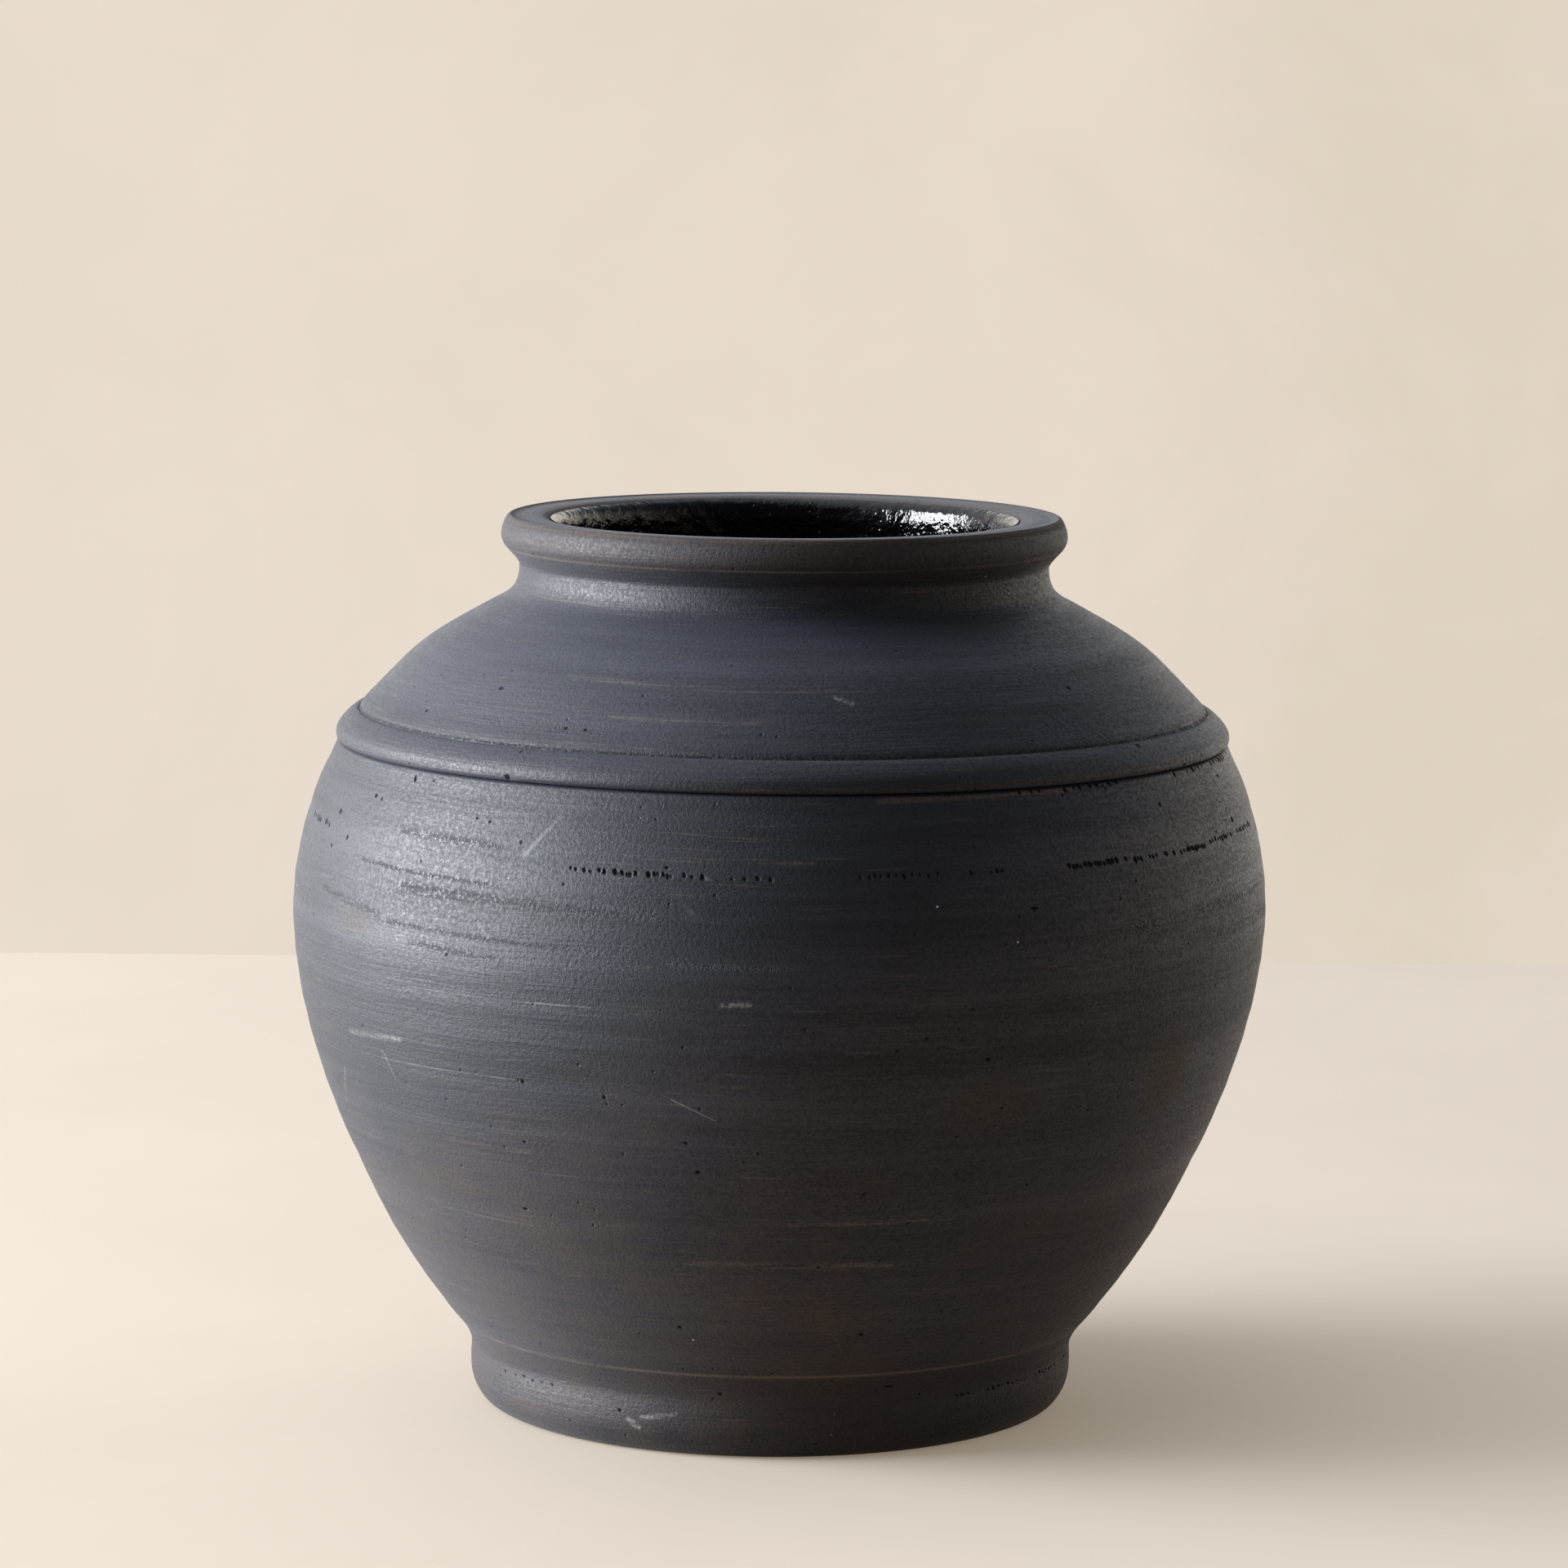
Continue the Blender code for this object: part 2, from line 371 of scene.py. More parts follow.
def row_of_pits(first, last, height, gap, seed, wide=0.5 * MM, tall=0.85 * MM, depth=0.5 * MM):
    """A broken row of small tears, where a tool dragged grit through the clay. Angles are in degrees."""
    chance = random.Random(seed)
    pits = []
    azimuth = first
    while azimuth < last:
        size = chance.uniform(0.6, 1.25)
        lift = chance.uniform(-0.35, 0.35) * MM
        pits.append((azimuth, height + lift, wide * size, tall * size, depth * size))
        azimuth += gap * chance.choice((0.7, 0.85, 1.0, 1.2, 2.8))
    return pits


def nearness(places, pit):
    """One in the middle of the pit and nothing beyond its edge."""
    azimuth, height, wide, tall, depth = pit
    radii = np.hypot(places[:, 0], places[:, 1])
    across = np.radians(azimuths(places) - azimuth) * radii
    up = places[:, 2] - height
    return np.clip(1.0 - ((across + 0.25 * up) / wide) ** 2 - (up / tall) ** 2, 0.0, 1.0)


def outward(places, normals):
    """Which places lie on a face or point that looks away from the jar's axis."""
    return (places * normals)[:, :2].sum(axis=1) > 0.0


def read_vectors(items, name):
    values = np.empty(len(items) * 3)
    items.foreach_get(name, values)
    return values.reshape(-1, 3)


def select_faces(piece, chosen):
    mesh = piece.data
    bpy.ops.object.select_all(action="DESELECT")
    piece.select_set(True)
    bpy.context.view_layer.objects.active = piece
    mesh.vertices.foreach_set("select", np.zeros(len(mesh.vertices), dtype=bool))
    mesh.edges.foreach_set("select", np.zeros(len(mesh.edges), dtype=bool))
    mesh.polygons.foreach_set("select", chosen)


def press_pits(piece, pits, cuts=6):
    """Cuts the outer faces near each pit finer, and then pushes the pits in."""
    mesh = piece.data
    centres = read_vectors(mesh.polygons, "center")
    chosen = np.zeros(len(centres), dtype=bool)
    for azimuth, height, wide, tall, depth in pits:
        chosen |= nearness(centres, (azimuth, height, wide + 1.7 * MM, tall + 0.9 * MM, depth)) > 0.0
    select_faces(piece, chosen & outward(centres, read_vectors(mesh.polygons, "normal")))
    bpy.context.tool_settings.mesh_select_mode = (False, False, True)
    bpy.ops.object.mode_set(mode="EDIT")
    bpy.ops.mesh.subdivide(number_cuts=cuts)
    bpy.ops.object.mode_set(mode="OBJECT")
    bpy.context.tool_settings.mesh_select_mode = (True, False, False)
    places = read_places(piece)
    skin = outward(places, read_vectors(mesh.vertices, "normal"))
    pressed = np.zeros(len(places))
    inwards = np.zeros(len(places))
    for pit in pits:
        close = nearness(places, pit) * skin
        pressed = np.maximum(pressed, close)
        inwards = np.maximum(inwards, pit[4] * close * np.sqrt(close))
    radii = np.maximum(np.hypot(places[:, 0], places[:, 1]), MM)
    places[:, :2] *= (1.0 - inwards / radii)[:, None]
    write_places(piece, places)
    # the pit attribute also drives the painted shade inside each pit in the clay's colour
    write_number(piece, "pit", pressed)


# ---------------------------------------------------------------- the hand of the maker

def hand_made(piece):
    """The jar isn't quite round, and it leans a little to the right as it rises."""
    places = read_places(piece)
    radii = np.hypot(places[:, 0], places[:, 1])
    bumps = [noise.noise(Vector((x, y, 0.7 * z)) * 16.0) for x, y, z in places]
    places[:, :2] *= (1.0 + 0.0022 * np.array(bumps) * np.clip(radii / 0.15, 0.3, 1.0))[:, None]
    share = np.clip(places[:, 2] / 0.200, 0.0, 1.0)
    places[:, 0] += -1.4 * MM + 2.4 * MM * share
    write_places(piece, places)


RUBBED = [  # brown places, where the slip is rubbed thin: degrees round, height, half sizes, and how worn
    (53.0, 0.1180, 13 * MM, 16 * MM, 2.0), (-57.0, 0.1600, 15 * MM, 6 * MM, 1.0), (-52.0, 0.0080, 14 * MM, 4 * MM, 1.6),
    (5.0, 0.0900, 44 * MM, 12 * MM, 0.7), (26.0, 0.1140, 22 * MM, 14 * MM, 1.0), (-48.0, 0.0830, 30 * MM, 9 * MM, 1.0),
    (150.0, 0.1160, 30 * MM, 16 * MM, 1.3), (-120.0, 0.0930, 26 * MM, 14 * MM, 1.0), (105.0, 0.0700, 40 * MM, 10 * MM, 0.9),
    (-64.0, 0.0225, 26 * MM, 5 * MM, 1.3),
]


def mark_rubbed(piece):
    places = read_places(piece)
    rubbed = np.zeros(len(places))
    for azimuth, height, along, up, strength in RUBBED:
        turned = (azimuths(places) - azimuth + 180.0) % 360.0 - 180.0
        across = np.radians(turned) * np.hypot(places[:, 0], places[:, 1]) / along
        distance = np.hypot(across, (places[:, 2] - height) / up)
        rubbed = np.maximum(rubbed, strength * np.clip(1.6 - 1.6 * distance, 0.0, 1.0))
    write_number(piece, "rubbed", rubbed)


def finish_piece(piece, material, node):
    mark_rubbed(piece)
    hand_made(piece)
    bpy.ops.object.select_all(action="DESELECT")
    piece.select_set(True)
    bpy.context.view_layer.objects.active = piece
    bpy.ops.object.shade_smooth_by_angle(angle=math.radians(38.0))
    piece.data.materials.append(material)
    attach(piece, "root")
    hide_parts(node)


# ---------------------------------------------------------------- clay

class Skin(Nodes):
    """The nodes that every mark on the jar's skin shares: its place round, up and along the wall."""

    def __init__(self, tree):
        super().__init__(tree)
        self.place = self.add("ShaderNodeTexCoord").outputs["Object"]
        self.x, self.y, self.z = self.split(self.place)
        angle = self.math("ARCTAN2", self.x, self.product(self.y, -1.0))
        self.azimuth = self.math("MULTIPLY", angle, 180.0 / math.pi)
        self.travel = self.number("travel")
        waves = self.noise(self.place, 16.0, 2.0)
        self.drawn = self.total(self.travel, self.product(waves, 3.0 * MM))

    def streaks(self, long, tall, detail=2.0, roughness=0.5):
        """Noise drawn out round the jar: about so long and so tall, in metres."""
        stretched = self.join(self.product(self.x, 1.0 / long), self.product(self.y, 1.0 / long),
                              self.product(self.drawn, 1.0 / tall))
        return self.noise(stretched, 1.0, detail, roughness)

    def stroke(self, start, end, width, soft=0.6):
        """A soft-edged mark from start to end. Each is (degrees round, millimetres up), and the width is in mm."""
        low, high = min(start[0], end[0]), max(start[0], end[0])
        inside = self.math("MINIMUM", self.math("MAXIMUM", self.azimuth, low), high)
        line = self.add("ShaderNodeMapRange", {"Value": self.azimuth, "From Min": start[0], "From Max": end[0],
                                               "To Min": start[1] * MM, "To Max": end[1] * MM}).outputs[0]
        degree = 2.5 / width
        beyond = self.product(self.math("SUBTRACT", self.azimuth, inside), degree)
        across = self.product(self.math("SUBTRACT", self.z, line), 1.0 / (width * MM))
        distance = self.add("ShaderNodeVectorMath", {0: self.join(beyond, across, 0.0)}, operation="LENGTH").outputs[1]
        return self.rise(distance, 1.0, 1.0 - soft)

    def strokes(self, marks):
        result = self.stroke(*marks[0])
        for mark in marks[1:]:
            result = self.math("MAXIMUM", result, self.stroke(*mark))
        return result


DRAGGED = [  # dark granular strips, where dry grit was dragged round under the slip
    ((-57.0, 178.0), (-34.0, 176.5), 1.0, 1.0), ((-48.0, 172.8), (-14.0, 171.5), 2.6, 1.0),
    ((-66.0, 166.5), (-52.0, 163.5), 1.9, 1.0), ((-50.0, 162.0), (-20.0, 160.5), 1.3, 1.0),
    ((-46.0, 157.0), (-32.0, 155.5), 1.6, 1.0), ((-12.0, 158.0), (2.0, 157.5), 1.4, 1.0),
    ((44.0, 163.5), (54.0, 164.5), 1.8, 1.0), ((22.0, 162.0), (40.0, 162.5), 1.1, 1.0),
    ((56.0, 165.5), (86.0, 167.0), 3.0, 1.0), ((58.0, 157.0), (88.0, 158.0), 3.4, 1.0),
    ((-50.0, 188.5), (-34.0, 187.5), 1.8, 1.0), ((60.0, 216.4), (92.0, 215.8), 1.8, 1.0),
    ((-44.0, 221.5), (-24.0, 220.5), 1.3, 1.0), ((118.0, 171.0), (150.0, 172.0), 2.2, 1.0),
    ((-150.0, 158.0), (-112.0, 160.0), 1.9, 1.0),
]
CHALK = [  # pale scuffs
    ((-60.0, 125.5), (-49.0, 126.8), 1.4, 1.0), ((-53.0, 122.0), (-51.5, 114.0), 0.9, 1.0),
    ((-65.0, 112.0), (-69.0, 100.0), 0.9, 1.0), ((-27.5, 10.0), (-25.5, 8.5), 1.7, 0.8),
    ((-25.0, 11.5), (-18.0, 13.2), 1.3, 1.0), ((11.2, 14.5), (10.8, 8.0), 0.8, 1.0),
    ((8.0, 231.0), (10.5, 229.5), 0.9, 1.0), ((-6.0, 146.5), (-3.0, 147.0), 1.2, 1.0),
    ((-46.7, 188.3), (-46.2, 188.3), 1.1, 0.4), ((128.0, 132.0), (137.0, 129.0), 1.4, 1.0),
]
SCRATCHES = [  # long, fine and pale
    ((-46.5, 143.9), (-21.0, 144.1), 0.28, 0.7), ((-57.0, 119.8), (-31.5, 120.2), 0.28, 0.7),
    ((-50.0, 140.0), (-49.0, 133.0), 0.25, 0.7), ((-12.0, 118.0), (-7.0, 112.0), 0.30, 0.7),
    ((150.0, 150.0), (172.0, 149.0), 0.28, 0.7),
    ((-26.8, 196.8), (-30.4, 186.0), 1.6, 1.0), ((-11.5, 178.0), (-9.8, 172.5), 2.0, 1.0),
    ((-35.6, 165.5), (-34.2, 162.0), 1.2, 1.0),
]
TAN_STROKES = [  # dry strokes that show the tan body
    ((-44.0, 97.4), (-31.0, 97.9), 1.1, 1.0), ((-34.0, 234.2), (14.0, 232.0), 1.1, 1.0),
    ((-24.0, 224.5), (8.0, 223.8), 1.0, 1.0), ((-18.0, 187.4), (4.0, 187.2), 1.0, 1.0),
    ((12.0, 203.9), (38.0, 204.3), 1.5, 0.9), ((2.0, 79.0), (20.0, 80.0), 1.1, 1.0),
    ((-12.0, 66.0), (16.0, 65.5), 1.5, 1.0), ((-52.0, 75.0), (-34.0, 74.0), 1.8, 1.0),
]

SLIP = (0.0125, 0.0140, 0.0190)
SLIP_DARK = (0.0080, 0.0085, 0.0110)
SLIP_PALE = (0.0215, 0.0240, 0.0315)
BROWN = (0.0290, 0.0212, 0.0155)
TAN = (0.090, 0.070, 0.053)
PALE = (0.42, 0.41, 0.40)
# near-black for the painted shade in pits, pinholes and the band's crease, and for the dragged grit
SHADE_AND_GRIT_BLACK = (0.0030, 0.0029, 0.0029)


def clay_material():
    """Brown clay under a thin blue-black slip that was brushed on as the jar turned."""
    material, _, shader = new_material("slip_clay")
    skin = Skin(material.node_tree)
    bands = skin.streaks(0.25, 11 * MM, 3.0, 0.6)
    brush = skin.streaks(0.035, 1.1 * MM, 3.0, 0.65)
    grain = skin.rise(skin.noise(skin.place, 900.0, 3.0, 0.85), 0.30, 0.70)
    patches = skin.noise(skin.place, 30.0, 4.0, 0.62)

    tone = skin.total(skin.product(bands, 0.62), skin.product(brush, 0.36), skin.product(patches, 0.22),
                      skin.product(grain, 0.22))
    colour = skin.mix(skin.rise(tone, 0.52, 0.72), SLIP_DARK, SLIP)
    colour = skin.mix(skin.rise(tone, 0.66, 0.86), colour, SLIP_PALE)

    low = skin.rise(skin.z, 0.155, 0.045)
    lip = skin.rise(skin.z, 0.2585, 0.2650)
    cove = skin.near(skin.z, 0.0235, 6 * MM)
    worn = skin.rise(skin.total(patches, skin.product(brush, 0.35), skin.product(grain, 0.10),
                                skin.product(low, 0.22)), 0.72, 1.05)
    top = skin.rise(skin.z, 0.2712, 0.2735)
    rubbed = skin.math("MAXIMUM", skin.number("rubbed"),
                       skin.total(skin.product(lip, 0.75), skin.product(top, 0.45), skin.product(cove, 0.8)))
    thin = skin.math("MAXIMUM", skin.product(worn, skin.total(skin.product(low, 0.70), 0.10)),
                     skin.product(rubbed, skin.rise(skin.total(patches, grain), 0.55, 1.15)))
    colour = skin.mix(thin, colour, BROWN)

    dry = skin.rise(skin.streaks(0.022, 0.8 * MM, 3.0, 0.6), 0.60, 0.76, 0.0, 0.42)
    dashes = skin.product(skin.rise(brush, 0.42, 0.62), skin.total(skin.product(grain, 0.6), 0.2))
    tan = skin.math("MAXIMUM", dry, skin.product(skin.strokes(TAN_STROKES), dashes, 0.95))
    edge_wear_and_highlight = skin.rise(skin.total(skin.product(patches, 0.4), skin.product(brush, 0.6)), 0.36, 0.52)
    # TAN lines round edges: at the foot crease (z 0.0268) partly painted highlight where the crease catches the light
    # and partly worn slip; at the rim, worn slip
    edges = skin.total(skin.product(skin.near(skin.z, 0.0268, 0.9 * MM), 0.8),
                       skin.product(skin.near(skin.z, 0.2645, 0.7 * MM), 0.75),
                       skin.product(skin.near(skin.z, 0.2733, 0.9 * MM), 0.35))
    colour = skin.mix(skin.math("MAXIMUM", tan, skin.product(edges, edge_wear_and_highlight)), colour, TAN)

    # painted shade: the groove between the band and the shoulder is darkened, patchy with the grain
    painted_crease_shade = skin.product(skin.near(skin.z, 0.2152, 1.3 * MM), skin.rise(grain, 0.85, 0.25, 0.55, 1.0))
    gritty = skin.product(skin.strokes(DRAGGED), skin.rise(grain, 0.70, 0.20), skin.rise(brush, 0.62, 0.40, 0.30, 0.80))
    # pinholes: small bump dents, darkened with painted shade
    pinholes_with_painted_shade = skin.dots(skin.place, 230.0, 0.15, 0.18)
    # painted shade: the pressed pits are darkened inside, on top of their real dents
    pit = skin.rise(skin.total(skin.number("pit"), skin.product(grain, 0.15)), 0.22, 0.38)
    # painted shade in pits, pinholes and the crease, together with the real dark grit, all mixed to near-black
    painted_shade_and_grit = skin.math("MAXIMUM", skin.math("MAXIMUM", pit, pinholes_with_painted_shade), skin.math("MAXIMUM", gritty, painted_crease_shade))
    colour = skin.mix(painted_shade_and_grit, colour, SHADE_AND_GRIT_BLACK)

    chalk = skin.product(skin.strokes(CHALK), grain, skin.rise(brush, 0.42, 0.58, 0.35, 1.0), 0.42)
    scratched = skin.product(skin.strokes(SCRATCHES), skin.rise(patches, 0.40, 0.60), 0.20)
    specks = skin.product(skin.dots(skin.place, 130.0, 0.052, 0.11), 0.8)
    pale = skin.math("MAXIMUM", skin.math("MAXIMUM", chalk, scratched), specks)
    colour = skin.mix(pale, colour, PALE)
    skin.feed(shader.inputs["Base Color"], colour)

    rough = skin.total(0.55, skin.product(skin.math("SUBTRACT", tone, 0.68), -0.34), skin.product(lip, 0.10),
                       skin.product(top, 0.20),
                       skin.product(skin.math("SUBTRACT", grain, 0.5), -0.22), skin.product(thin, 0.08))
    rough = skin.math("MAXIMUM", rough, skin.product(painted_shade_and_grit, 0.9), clamp=True)
    skin.feed(shader.inputs["Roughness"], rough)
    shader.inputs["Specular IOR Level"].default_value = 0.45
    shader.inputs["Sheen Weight"].default_value = 0.095
    shader.inputs["Sheen Roughness"].default_value = 0.55
    shader.inputs["Sheen Tint"].default_value = (0.75, 0.84, 1.0, 1.0)

    relief = skin.total(skin.product(brush, 0.55), skin.product(grain, 0.24), skin.product(painted_shade_and_grit, -0.50))
    bump = skin.add("ShaderNodeBump", {"Height": relief, "Strength": 1.0, "Distance": 0.30 * MM})
    skin.feed(shader.inputs["Normal"], bump.outputs[0])
    return material


def glaze_material():
    """Black glass that pooled unevenly, thin and tan at its upper edge."""
    material, _, shader = new_material("inner_glaze")
    skin = Skin(material.node_tree)
    lumps = skin.noise(skin.place, 230.0, 3.0, 0.62)
    freckles = skin.dots(skin.place, 330.0, 0.16, 0.30)
    thin = skin.rise(skin.total(skin.z, skin.product(skin.noise(skin.place, 60.0, 3.0), 3.0 * MM)), 0.2741, 0.2752)
    colour = skin.mix(thin, (0.0035, 0.0035, 0.0040), (0.070, 0.054, 0.038))
    skin.feed(shader.inputs["Base Color"], colour)
    shader.inputs["Specular IOR Level"].default_value = 0.40
    skin.feed(shader.inputs["Roughness"], skin.total(0.13, skin.product(freckles, 0.25), skin.product(thin, 0.30)))
    relief = skin.total(lumps, skin.product(freckles, -0.35))
    bump = skin.add("ShaderNodeBump", {"Height": relief, "Strength": 1.0, "Distance": 0.7 * MM})
    skin.feed(shader.inputs["Normal"], bump.outputs[0])
    return material


# ---------------------------------------------------------------- pieces

WALL = 9.0 * MM
STEP = 1.35 * MM
ROW = 0.1832  # the height of the row of tears round the belly

BELLY_PITS = [  # degrees round, height, half width, half height, depth
    (-58.6, 0.1960, 0.8 * MM, 0.7 * MM, 0.5 * MM), (-57.0, 0.1955, 0.6 * MM, 0.6 * MM, 0.4 * MM),
    (-51.6, 0.2028, 0.5 * MM, 1.3 * MM, 0.5 * MM), (-66.8, 0.1890, 1.0 * MM, 0.9 * MM, 0.6 * MM),
    (-62.5, 0.1826, 0.6 * MM, 0.9 * MM, 0.5 * MM), (-66.5, 0.1790, 0.5 * MM, 0.7 * MM, 0.5 * MM),
    (-13.0, 0.1850, 0.6 * MM, 0.5 * MM, 0.4 * MM), (52.4, 0.1970, 0.5 * MM, 0.9 * MM, 0.4 * MM),
    (70.9, 0.2005, 0.5 * MM, 0.6 * MM, 0.4 * MM), (70.0, 0.1878, 0.9 * MM, 1.0 * MM, 0.5 * MM),
    (29.6, 0.1724, 1.6 * MM, 0.5 * MM, 0.5 * MM), (24.4, 0.1292, 0.8 * MM, 0.7 * MM, 0.6 * MM),
    (-9.2, 0.0958, 0.8 * MM, 0.7 * MM, 0.5 * MM), (-10.5, 0.1047, 0.5 * MM, 0.5 * MM, 0.4 * MM),
    (-31.5, 0.1010, 0.6 * MM, 0.5 * MM, 0.4 * MM), (-30.4, 0.1200, 0.7 * MM, 0.8 * MM, 0.4 * MM),
    (-20.0, 0.1175, 0.5 * MM, 0.9 * MM, 0.3 * MM), (-34.0, 0.0790, 1.0 * MM, 0.5 * MM, 0.5 * MM),
    (14.0, 0.0420, 0.9 * MM, 0.6 * MM, 0.5 * MM), (-14.0, 0.0440, 0.7 * MM, 0.6 * MM, 0.4 * MM),
    (128.0, 0.1420, 0.9 * MM, 0.7 * MM, 0.5 * MM), (-140.0, 0.1130, 0.8 * MM, 0.7 * MM, 0.5 * MM),
]
SHOULDER_PITS = [
    (-45.1, 0.2293, 1.3 * MM, 0.5 * MM, 0.4 * MM), (-57.7, 0.2207, 0.9 * MM, 0.5 * MM, 0.4 * MM),
    (46.7, 0.2304, 0.7 * MM, 0.7 * MM, 0.4 * MM), (-30.1, 0.2208, 0.8 * MM, 0.5 * MM, 0.4 * MM),
    (-27.1, 0.2207, 0.6 * MM, 0.5 * MM, 0.4 * MM), (112.0, 0.2260, 0.8 * MM, 0.6 * MM, 0.4 * MM),
]
BAND_PITS = [
    (-38.7, 0.2152, 0.8 * MM, 0.7 * MM, 0.4 * MM), (-34.8, 0.2139, 0.7 * MM, 0.5 * MM, 0.4 * MM),
    (-35.4, 0.2068, 1.0 * MM, 1.1 * MM, 0.5 * MM), (52.1, 0.2137, 0.9 * MM, 0.7 * MM, 0.4 * MM),
]


def make_lower_body(clay):
    rise = trace([(0.0974, 0.0266), (0.1003, 0.0300), (0.1041, 0.0350), (0.1134, 0.0482), (0.1212, 0.0614),
                  (0.1277, 0.0746), (0.1339, 0.0878), (0.1391, 0.1010), (0.1434, 0.1142), (0.1467, 0.1274),
                  (0.1488, 0.1406), (0.1497, 0.1538), (0.1487, 0.1670), (0.1460, 0.1802), (0.1417, 0.1934),
                  (0.1386, 0.2000), (0.1371, 0.2033)], STEP, rings=0.11 * MM)
    undercut = trace([(0.1371, 0.2033), (0.13665, 0.2043), (0.1363, 0.2049), (0.1357, 0.2053), (0.1346, 0.2056)],
                     0.3 * MM)
    seat = [(0.0760, 0.0076), (0.0830, 0.0120), (0.0905, 0.0190), (0.0966, 0.0259)]
    lap = [(0.1335, 0.2075), (0.1316, 0.2120)]
    outside = rise + undercut[1:] + lap
    inside = inside_of(rise[4:-4:6] + [undercut[0], (0.1316, 0.2120)], WALL)
    piece = turn("belly_wall", seat + outside + inside, AROUND)
    rows = [(-78.0, -68.5, ROW + 1.2 * MM, 0.9), (-24.5, -20.0, ROW, 0.9), (-19.0, -10.0, ROW - 0.4 * MM, 0.55),
            (-10.0, -1.0, ROW - 0.5 * MM, 1.2), (9.0, 19.0, ROW, 0.9), (22.0, 26.0, ROW, 0.9),
            (35.0, 61.0, ROW, 0.55), (61.5, 79.0, ROW + 0.8 * MM, 0.9), (104.0, 131.0, ROW, 0.75),
            (-152.0, -128.0, ROW + 0.6 * MM, 0.9), (58.0, 81.0, 0.2044, 1.3), (30.0, 48.0, 0.2046, 1.4)]
    pits = list(BELLY_PITS)
    for seed, (first, last, height, gap) in enumerate(rows):
        pits += row_of_pits(first, last, height, gap, seed, wide=0.6 * MM, tall=0.95 * MM)
    press_pits(piece, pits)
    finish_piece(piece, clay, "lower_body")


def make_upper_body(clay):
    hidden = [(0.1300, 0.2123), (0.1297, 0.2135)]
    outside = trace([(0.1299, 0.2147), (0.1296, 0.2152), (0.1291, 0.2160), (0.1283, 0.2171), (0.1269, 0.2186),
                     (0.1250, 0.2205), (0.1197, 0.2260), (0.1147, 0.2310), (0.1084, 0.2360), (0.1004, 0.2410), (0.0933, 0.2450)], STEP, rings=0.05 * MM)
    inside = inside_of(outside[::5] + [outside[-1]], WALL)
    piece = turn("shoulder_dome", hidden + outside + inside, AROUND, start=0.2240)
    press_pits(piece, SHOULDER_PITS)
    finish_piece(piece, clay, "upper_body")


def make_shoulder_band(clay):
    face = trace([(0.1352, 0.2058), (0.1362, 0.2058), (0.1367, 0.2063), (0.1369, 0.2076), (0.1366, 0.2091),
                  (0.1357, 0.2106), (0.1344, 0.2121), (0.1331, 0.2133), (0.1319, 0.2142), (0.1309, 0.2147),
                  (0.1301, 0.2147)], 0.5 * MM)
    back = [(0.1304, 0.2138), (0.1340, 0.2072)]
    piece = turn("shoulder_strip", [(0.1345, 0.2063)] + face + back, AROUND, start=0.2060)
    press_pits(piece, BAND_PITS + row_of_pits(57.0, 80.0, 0.2062, 1.9, 31, tall=1.0 * MM, depth=0.4 * MM), cuts=3)
    finish_piece(piece, clay, "shoulder_band")


def make_neck_collar(clay):
    outside = trace([(0.0933, 0.2450), (0.0895, 0.2471), (0.0860, 0.2490), (0.0831, 0.2515), (0.0818, 0.2540),
                     (0.0812, 0.2565), (0.0811, 0.2580)], 0.8 * MM)
    bore = [(0.0699, 0.2580), (0.0705, 0.2500), (0.0760, 0.2440), (0.0870, 0.2370)]
    piece = turn("neck_cove", outside + bore, AROUND, start=0.2640)
    finish_piece(piece, clay, "neck_collar")


def make_rim_roll(clay):
    under = trace([(0.0811, 0.2580), (0.0811, 0.2590), (0.0815, 0.2600), (0.0824, 0.2613), (0.0851, 0.2642)],
                  0.4 * MM)
    roll = trace([(0.0851, 0.2642), (0.0859, 0.2653), (0.0865, 0.2667), (0.0867, 0.2682), (0.0865, 0.2698),
                  (0.0861, 0.2711), (0.0856, 0.2723), (0.0851, 0.2732), (0.0846, 0.2738), (0.0839, 0.27405)],
                 0.5 * MM)
    top = trace([(0.0839, 0.27405), (0.0828, 0.2737), (0.0812, 0.2736), (0.0785, 0.27375), (0.0758, 0.2737),
                 (0.0737, 0.2734), (0.0720, 0.2727), (0.0709, 0.2716), (0.0702, 0.2700), (0.0698, 0.2675)],
                0.7 * MM)
    piece = turn("lip_roll", under + roll[1:] + top[1:] + [(0.0697, 0.2630), (0.0699, 0.2580)], AROUND, start=0.2790)
    finish_piece(piece, clay, "rim_roll")


def make_foot_ring(clay):
    cove = trace([(0.0974, 0.0266), (0.0968, 0.0259), (0.0951, 0.0235), (0.0937, 0.0207), (0.0930, 0.0184),
                  (0.0929, 0.0168)], 0.6 * MM)
    face = trace([(0.0929, 0.0168), (0.0929, 0.0160), (0.0930, 0.0142), (0.0930, 0.0112), (0.0928, 0.0085),
                  (0.0921, 0.0058), (0.0909, 0.0034), (0.0893, 0.0014), (0.0873, 0.0003), (0.0850, 0.0)], 0.8 * MM)
    inner = [(0.0800, 0.0), (0.0720, 0.0), (0.0690, 0.0010), (0.0680, 0.0030), (0.0680, 0.0066)]
    seat = [(0.0756, 0.0074), (0.0830, 0.0117), (0.0905, 0.0187), (0.0964, 0.0254)]
    outline = seat[-1:] + cove + face[1:] + inner + seat[:-1]
    piece = turn("foot_coil", outline, AROUND, start=-0.0150)
    pits = row_of_pits(37.0, 84.0, 0.0166, 1.5, 41, tall=0.55 * MM, depth=0.4 * MM)
    pits += row_of_pits(-60.0, -36.0, 0.0166, 4.0, 42, tall=0.5 * MM, depth=0.35 * MM)
    pits += [(-28.6, 0.0128, 0.6 * MM, 0.6 * MM, 0.4 * MM), (-9.0, 0.0205, 0.7 * MM, 0.6 * MM, 0.4 * MM),
             (22.0, 0.0222, 1.6 * MM, 0.5 * MM, 0.4 * MM)]
    press_pits(piece, pits, cuts=3)
    finish_piece(piece, clay, "foot_ring")


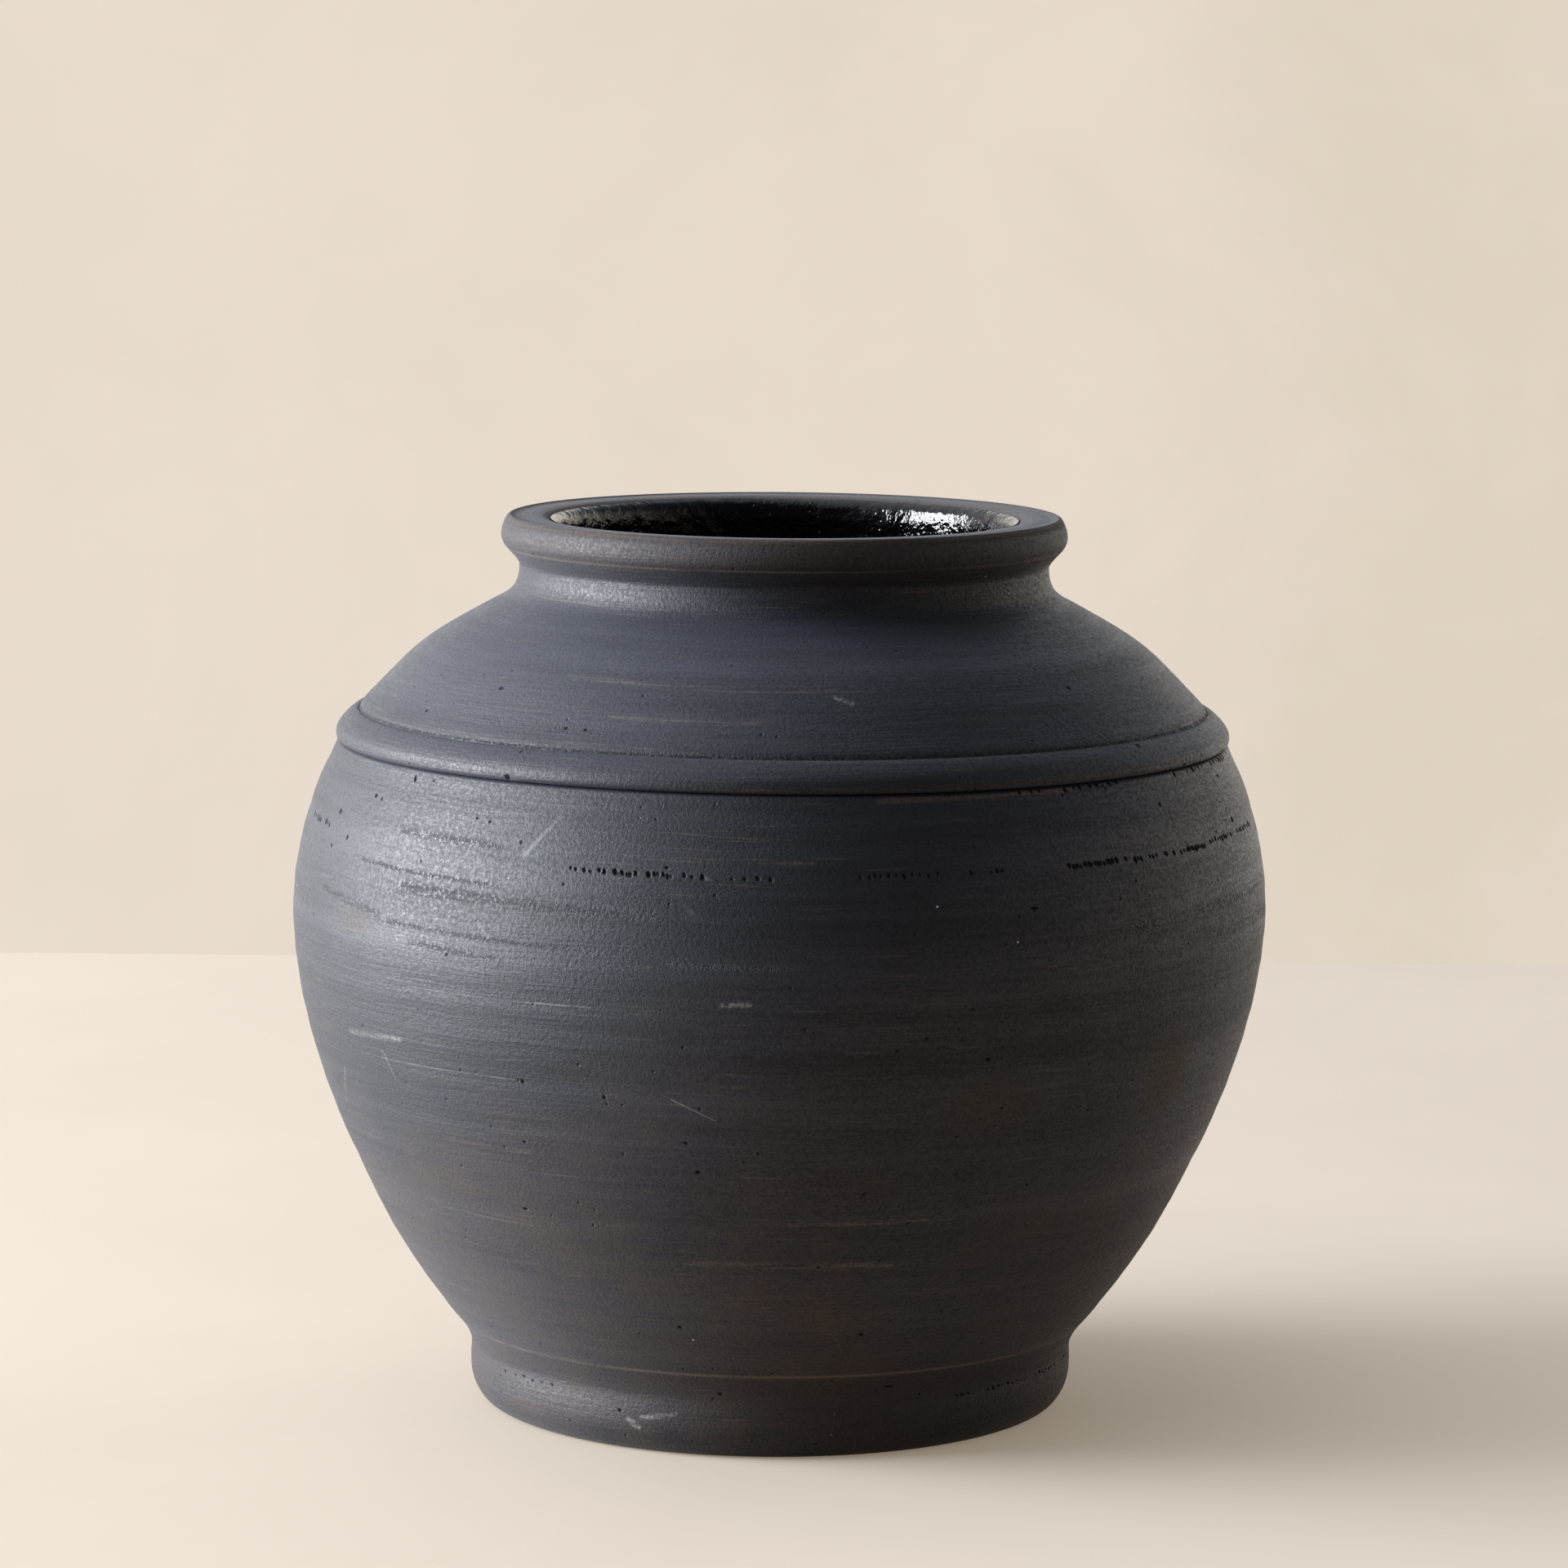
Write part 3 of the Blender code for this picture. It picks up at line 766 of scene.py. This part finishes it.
def make_base_disc(clay):
    ripples = []
    for i in range(1, 46):
        radius = i * 1.5 * MM
        ripples.append((radius, 0.0070 + 0.18 * MM * math.cos(math.tau * radius / (6.0 * MM))))
    outline = [(0.0, 0.0072)] + ripples + [(0.0755, 0.0075), (0.0740, 0.0160), (0.0400, 0.0160), (0.0, 0.0160)]
    piece = turn("floor_slab", outline, AROUND, start=-0.1200, round_closed=False)
    finish_piece(piece, clay, "base_disc")


def make_inner_glaze(glaze):
    belly = trace([(0.0, 0.0173), (0.0400, 0.0173), (0.0660, 0.0176), (0.0760, 0.0220), (0.0910, 0.0400),
                   (0.1167, 0.0800), (0.1362, 0.1274), (0.1394, 0.1538), (0.1351, 0.1790), (0.1241, 0.2010),
                   (0.1070, 0.2170), (0.0860, 0.2370), (0.0740, 0.2430), (0.0693, 0.2480)], 4.0 * MM)
    throat = trace([(0.0693, 0.2480), (0.0687, 0.2530), (0.0684, 0.2600), (0.0684, 0.2640), (0.0685, 0.2672),
                    (0.0688, 0.2694), (0.0693, 0.2711), (0.0702, 0.2722), (0.0716, 0.2729)], 0.5 * MM)
    face = belly + throat[1:]
    lip = [(0.0714, 0.2725), (0.0703, 0.2711), (0.0697, 0.2697), (0.0695, 0.2675), (0.0694, 0.2600), (0.0696, 0.2530)]
    back = lip + inside_of(belly[3:-3:2], -0.9 * MM)
    piece = turn("glaze_coat", face + back + [(0.0, 0.0164)], GLAZE_AROUND, start=0.4, round_closed=False)
    places = read_places(piece)
    radii = np.maximum(np.hypot(places[:, 0], places[:, 1]), MM)
    front = ~outward(places, read_vectors(piece.data.vertices, "normal"))
    lumps = [noise.noise(Vector(place) * 140.0) + 0.5 * noise.noise(Vector(place) * 330.0) for place in places]
    share = np.clip((places[:, 2] - 0.2450) / 0.006, 0.0, 1.0) * front
    places[:, :2] *= (1.0 - 0.16 * MM * np.array(lumps) * share / radii)[:, None]
    write_places(piece, places)
    finish_piece(piece, glaze, "inner_glaze")


def make_pieces():
    clay = clay_material()
    make_lower_body(clay)
    make_upper_body(clay)
    make_shoulder_band(clay)
    make_neck_collar(clay)
    make_rim_roll(clay)
    make_foot_ring(clay)
    make_base_disc(clay)
    make_inner_glaze(glaze_material())


set_camera()
set_world()
set_floor()
softbox("window", (1.8, 1.75), -88.0, 10.0, 2.8, 285.0, (0.955, 0.975, 1.04))
set_tone()
make_pieces()
